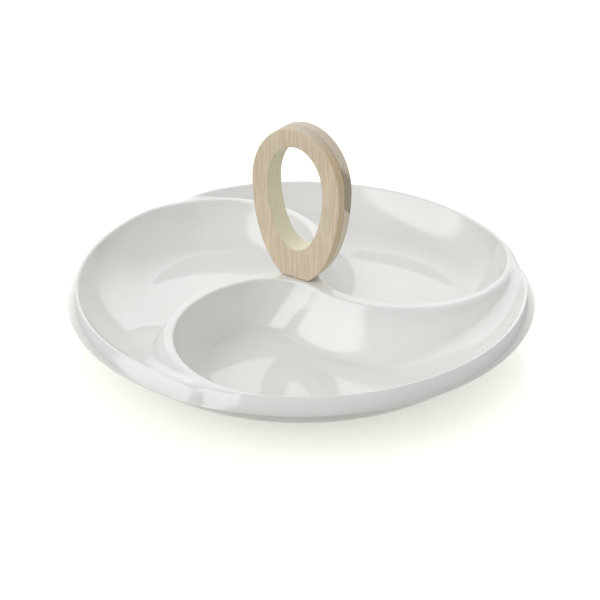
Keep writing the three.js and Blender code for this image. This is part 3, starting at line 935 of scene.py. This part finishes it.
def bamboo_finish():
    finish, shader = new_finish("bamboo_board")
    coordinates = add(finish, "TexCoord")
    place = coordinates.outputs["Object"]
    axes = add(finish, "SeparateXYZ", [("Vector", place)]).outputs
    upward = add(finish, "SeparateXYZ", [("Vector", coordinates.outputs["Normal"])]).outputs["Z"]

    def streaks(across, along, detail):
        stretched = add(finish, "Mapping", [("Vector", place), ("Scale", (across, across, along))])
        return noise(finish, stretched.outputs["Vector"], 1, detail)

    def maths(operation, *values):
        return add(finish, "Math", list(enumerate(values)), operation=operation).outputs[0]

    fibres = streaks(**FIBRES)

    def with_fibres(colour, other, share):
        return blend(finish, span(finish, fibres, *FIBRE_SPAN, share, 0), colour, other)

    face = mottle(finish, streaks(**BUNDLES), FIBRE_COOL, FIBRE_WARM, BUNDLE_SPAN)
    face = with_fibres(face, FIBRE_PORE, FACE_FIBRE_SHARE)

    layer = span(finish, axes["Y"], GLUE_PLACE - GLUE_WIDTH / 2, GLUE_PLACE + GLUE_WIDTH / 2)
    slanted = maths("ADD", axes["Z"], maths("MULTIPLY", axes["Y"], STRIP_SLANT))
    above = span(finish, slanted, STRIP_LOW, STRIP_LOW + GLUE_WIDTH)
    below = span(finish, slanted, STRIP_HIGH, STRIP_HIGH + HANDLE_HALF_THICKNESS, 1, 0)
    right = span(finish, axes["X"], 0, HANDLE_FOOT_HALF_WIDTH)
    strip = maths("MULTIPLY", maths("MULTIPLY", above, below), right)
    edge = blend(finish, layer, EDGE_FRONT, blend(finish, strip, EDGE_BACK, DARK_STRIP))
    # Painted sheen: where the outer edge faces up, its colour is blended towards a greyer tone.
    edge = blend(finish, span(finish, upward, *TOP_SHEEN_SPAN, 0, TOP_SHEEN_SHARE), edge, EDGE_TOP_SHEEN)
    edge = with_fibres(edge, FIBRE_PORE, EDGE_FIBRE_SHARE)
    from_glue = maths("ABSOLUTE", maths("SUBTRACT", axes["Y"], GLUE_PLACE))
    glued = span(finish, from_glue, GLUE_WIDTH / 2, GLUE_WIDTH, GLUE_SHARE, 0)
    edge = blend(finish, glued, edge, GLUE_LINE)

    wide = maths("DIVIDE", axes["X"], GRIP_REACH.x)
    tall = maths("DIVIDE", maths("SUBTRACT", axes["Z"], GRIP_MIDDLE), GRIP_REACH.z)
    out_of_hole = maths("ADD", maths("MULTIPLY", wide, wide), maths("MULTIPLY", tall, tall))
    grip_wall = with_fibres(GRIP_WALL, FIBRE_COOL, GRIP_FIBRE_SHARE)
    edge = blend(finish, span(finish, out_of_hole, *GRIP_BORDER), grip_wall, edge)

    face_start = HANDLE_HALF_THICKNESS - HANDLE_EDGE_ROUND
    face_full = HANDLE_HALF_THICKNESS - HANDLE_EDGE_ROUND / 4
    on_face = span(finish, maths("ABSOLUTE", axes["Y"]), face_start, face_full)
    colour = blend(finish, on_face, edge, face)
    pores = span(finish, streaks(**PORES), *PORE_SPAN, 0, PORE_SHARE)
    link(finish, blend(finish, pores, colour, FIBRE_PORE), shader, "Base Color")
    link(finish, span(finish, fibres, *NOISE_SPAN, *BAMBOO_ROUGHNESS), shader, "Roughness")
    bump(finish, shader, fibres, GRAIN_STRENGTH, GRAIN_DEPTH)
    return finish


bamboo = bamboo_finish()
wear(ring, bamboo)
print("bamboo nodes", len(bamboo.node_tree.nodes))

# %% [markdown]
# ## Metal, rubber and silicone
# The fastening is out of sight from above. Turned and stamped metal shows fine circles about its axis, so a
# ring-shaped wave in the bump follows the tool. Rubber and silicone are matt, with the skin of their mould.

# %% Metal, rubber and silicone
METALS = {
    "handle_screw": ("screw_steel", (0.60, 0.61, 0.62), 0.28),
    "spring_washer": ("spring_steel", (0.42, 0.43, 0.44), 0.38),
    "flat_washer": ("washer_steel", (0.66, 0.67, 0.68), 0.32),
    "threaded_insert": ("turned_brass", (0.74, 0.57, 0.25), 0.3),
}
MOULDED = {
    "flanged_grommet": ("black_rubber", (0.035, 0.035, 0.035), 0.8),
    "seat_gasket": ("clear_silicone", (0.68, 0.67, 0.63), 0.55),
}
TOOL_RINGS = [("Scale", 900), ("Distortion", 1.5), ("Detail", 2)]
TOOL_STRENGTH = 0.15
TOOL_DEPTH = 0.03 * MM
SMUDGES = {"scale": 260, "detail": 4}
SMUDGE_SHADE = 0.8
SMUDGE_ROUGHNESS = (0.8, 1.3)
SKIN = {"scale": 1500, "detail": 3}
SKIN_SHADE = 0.75
SKIN_ROUGHNESS = (0.85, 1.15)
SKIN_STRENGTH = 0.2
SKIN_DEPTH = 0.05 * MM


def metal_finish(name, colour, roughness):
    finish, shader = new_finish(name)
    shader.inputs["Metallic"].default_value = 1
    place = add(finish, "TexCoord").outputs["Object"]
    inputs = [("Vector", place), *TOOL_RINGS]
    rings = add(finish, "TexWave", inputs, wave_type="RINGS", rings_direction="Z").outputs["Fac"]
    smudges = noise(finish, place, **SMUDGES)
    rough = [roughness * share for share in SMUDGE_ROUGHNESS]
    link(finish, mottle(finish, smudges, darker(colour, SMUDGE_SHADE), colour), shader, "Base Color")
    link(finish, span(finish, smudges, *NOISE_SPAN, *rough), shader, "Roughness")
    bump(finish, shader, rings, TOOL_STRENGTH, TOOL_DEPTH)
    return finish


def moulded_finish(name, colour, roughness):
    finish, shader = new_finish(name)
    place = add(finish, "TexCoord").outputs["Object"]
    skin = noise(finish, place, **SKIN)
    rough = [roughness * share for share in SKIN_ROUGHNESS]
    link(finish, mottle(finish, skin, darker(colour, SKIN_SHADE), colour), shader, "Base Color")
    link(finish, span(finish, skin, *NOISE_SPAN, *rough), shader, "Roughness")
    bump(finish, shader, skin, SKIN_STRENGTH, SKIN_DEPTH)
    return finish


for node, (name, colour, roughness) in METALS.items():
    wear(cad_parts[node], metal_finish(name, colour, roughness))
for node, (name, colour, roughness) in MOULDED.items():
    wear(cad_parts[node], moulded_finish(name, colour, roughness))
print("fastening finishes", len(METALS) + len(MOULDED))

# %% [markdown]
# ## The table
# The table is a plain pale sheet with a polish, which holds a faint reflection and a soft shadow. It shows
# as white to the camera and in reflections, by a glow that only those rays see, so that no extra light
# falls on the dish. From below it is clear, so that the underside can be looked at.

# %% Table
TABLE_RADIUS = 10
TABLE_STEPS = 96
TABLE_WHITE = (0.42, 0.43, 0.40)
TABLE_GLOW = (0.54, 0.56, 0.515)
TABLE_SHADE = (0.72, 0.73, 0.69)
TABLE_ROUGHNESS = 0.5
TABLE_POLISH = 0.12
TABLE_IOR = 1.45

bpy.ops.object.select_all(action="DESELECT")
bpy.ops.mesh.primitive_circle_add(vertices=TABLE_STEPS, radius=TABLE_RADIUS, fill_type="NGON")
table = bpy.context.object
table.name = table.data.name = "table"
table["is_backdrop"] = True


def seen_directly(finish):
    """1 for the camera's rays, reflections and what is seen through glass, and 0 for light on the dish."""
    path = add(finish, "LightPath").outputs
    seen = path["Is Camera Ray"]
    for name in ("Is Glossy Ray", "Is Transmission Ray"):
        seen = add(finish, "Math", [(0, seen), (1, path[name])], operation="MAXIMUM").outputs[0]
    return seen


def table_finish():
    finish, shader = new_finish("table_sheet")
    shader.inputs["Base Color"].default_value = (*TABLE_WHITE, 1)
    shader.inputs["Roughness"].default_value = TABLE_ROUGHNESS
    polish = [("Base Color", (*TABLE_SHADE, 1)), ("Roughness", TABLE_POLISH), ("IOR", TABLE_IOR)]
    shown = add(finish, "BsdfPrincipled", polish).outputs[0]
    glow = add(finish, "Emission", [("Color", (*TABLE_GLOW, 1))]).outputs[0]
    lit = add(finish, "AddShader", [(0, shown), (1, glow)]).outputs[0]
    inputs = [(0, seen_directly(finish)), (1, shader.outputs[0]), (2, lit)]
    top = add(finish, "MixShader", inputs).outputs[0]
    back = add(finish, "NewGeometry").outputs["Backfacing"]
    clear = add(finish, "BsdfTransparent").outputs[0]
    sides = add(finish, "MixShader", [(0, back), (1, top), (2, clear)]).outputs[0]
    output = next(n for n in finish.node_tree.nodes if n.type == "OUTPUT_MATERIAL")
    link(finish, sides, output, "Surface")
    return finish


wear(table, table_finish())
print("table", TABLE_RADIUS, "m in radius")

# %% [markdown]
# ## The light
# A product studio: a white tent all round, brightest behind the dish, with a strong glow on the camera's
# left and a weak one over the camera. The tent gives the even white and the sheen on the floors, where the
# ring is mirrored, and its dim foot darkens the band. The left glow gives the bright patches on the walls,
# and lights the dish at less than half of what its mirror image shows, so that the left of the dish stays
# grey enough. Lamps could do the same, but a gloss glaze would mirror their hard outlines.

# %% Light
TENT_LIGHT = 0.77
TENT_FOOT = 0.06
TENT_FOOT_TOP = 0.32
BACK_GLOW = 1.13
BACK_SPREAD = (0.55, 0.96)
BACK_AZIMUTH = 180
BACK_ELEVATION = 28
FRONT_GLOW = 0.42
FRONT_SPREAD = (0.55, 0.95)
FRONT_AZIMUTH = -8
FRONT_ELEVATION = 48
LEFT_GLOW = 2.9
LEFT_LIT_SHARE = 0.45
LEFT_SPREAD = (0.84, 0.93)
LEFT_AZIMUTH = -67
LEFT_ELEVATION = 26


def from_camera(azimuth, elevation):
    """A direction from the dish: the azimuth is from the camera's own, and right is positive."""
    turn = CAMERA_AZIMUTH + math.radians(azimuth) - math.pi / 2
    level = math.cos(math.radians(elevation))
    return Vector((level * math.cos(turn), level * math.sin(turn), math.sin(math.radians(elevation))))


def tent():
    """The world: white cloth that is dim near the ground, with glows behind, on the left and in front."""
    world = bpy.data.worlds.new("studio")
    world.use_nodes = True
    world.node_tree.nodes.clear()
    toward = add(world, "TexCoord").outputs["Generated"]
    height = add(world, "SeparateXYZ", [("Vector", toward)]).outputs["Z"]
    strength = span(world, height, 0, TENT_FOOT_TOP, TENT_FOOT, TENT_LIGHT)
    mirrored = add(world, "LightPath").outputs["Is Glossy Ray"]
    left_power = span(world, mirrored, 0, 1, LEFT_GLOW * LEFT_LIT_SHARE, LEFT_GLOW)
    for place, spread, power in (
        (from_camera(BACK_AZIMUTH, BACK_ELEVATION), BACK_SPREAD, BACK_GLOW),
        (from_camera(LEFT_AZIMUTH, LEFT_ELEVATION), LEFT_SPREAD, left_power),
        (from_camera(FRONT_AZIMUTH, FRONT_ELEVATION), FRONT_SPREAD, FRONT_GLOW),
    ):
        facing = add(world, "VectorMath", [(0, toward), (1, place)], operation="DOT_PRODUCT")
        share = span(world, facing.outputs["Value"], *spread)
        strength = add(
            world, "Math", [(0, share), (1, power), (2, strength)], operation="MULTIPLY_ADD"
        ).outputs[0]
    light = add(world, "Background", [("Strength", strength)])
    add(world, "OutputWorld", [("Surface", light.outputs[0])])
    return world


bpy.context.scene.world = tent()
bpy.context.scene.view_settings.view_transform = "Standard"
print("tent nodes", len(bpy.context.scene.world.node_tree.nodes))

shown_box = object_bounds()
steps_out = [*(shown_box[1] - cad_box[1]), *(cad_box[0] - shown_box[0])]
print("largest step outside the packed box", round(max(steps_out) / MM, 3), "mm")
